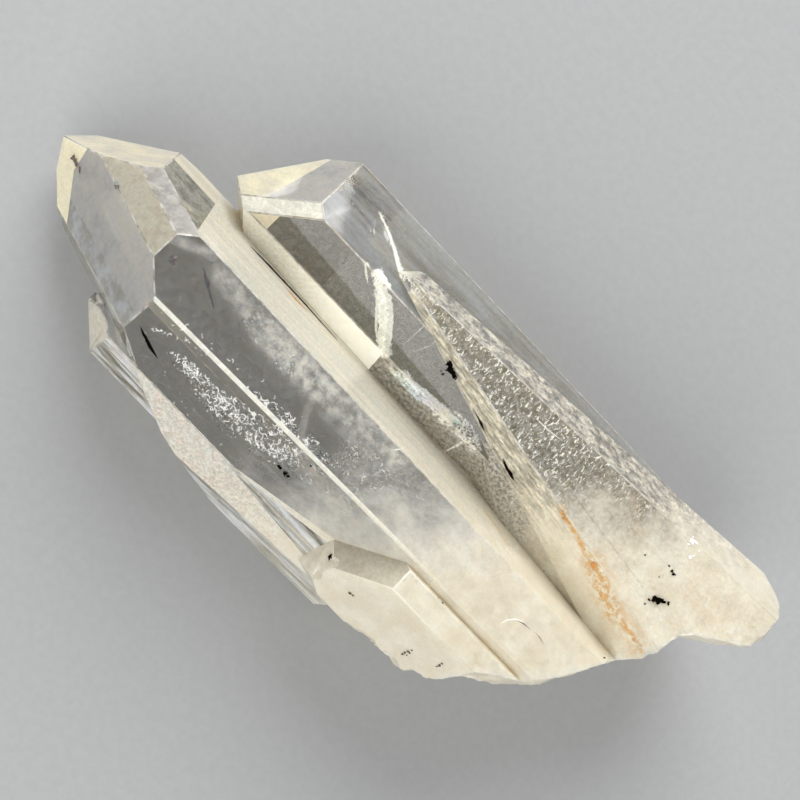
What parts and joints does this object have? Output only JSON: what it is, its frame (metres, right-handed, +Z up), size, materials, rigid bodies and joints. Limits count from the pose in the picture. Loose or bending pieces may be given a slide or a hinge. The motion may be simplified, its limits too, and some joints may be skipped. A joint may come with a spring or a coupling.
{
  "type": "quartz cluster",
  "caption": "Cluster of clear quartz crystals grown together, lying on its side, with pointed glassy tips, veils inside and a milky, iron-stained broken root end.",
  "frame": {"origin": "bottom centre of the bounding box, on the surface the cluster rests on", "axes": "+X along the two large crystals from their tips towards the broken root end, +Y across them towards the side with the tapered crystal, +Z up"},
  "size_m": [0.0998, 0.0406, 0.0254],
  "materials": {
    "quartz": "clear and glossy at the tips, milky and frosted towards the root, with iron-orange stains"
  },
  "bodies": {
    "root": {"quartz_cluster": "quartz"}
  },
  "joints": []
}
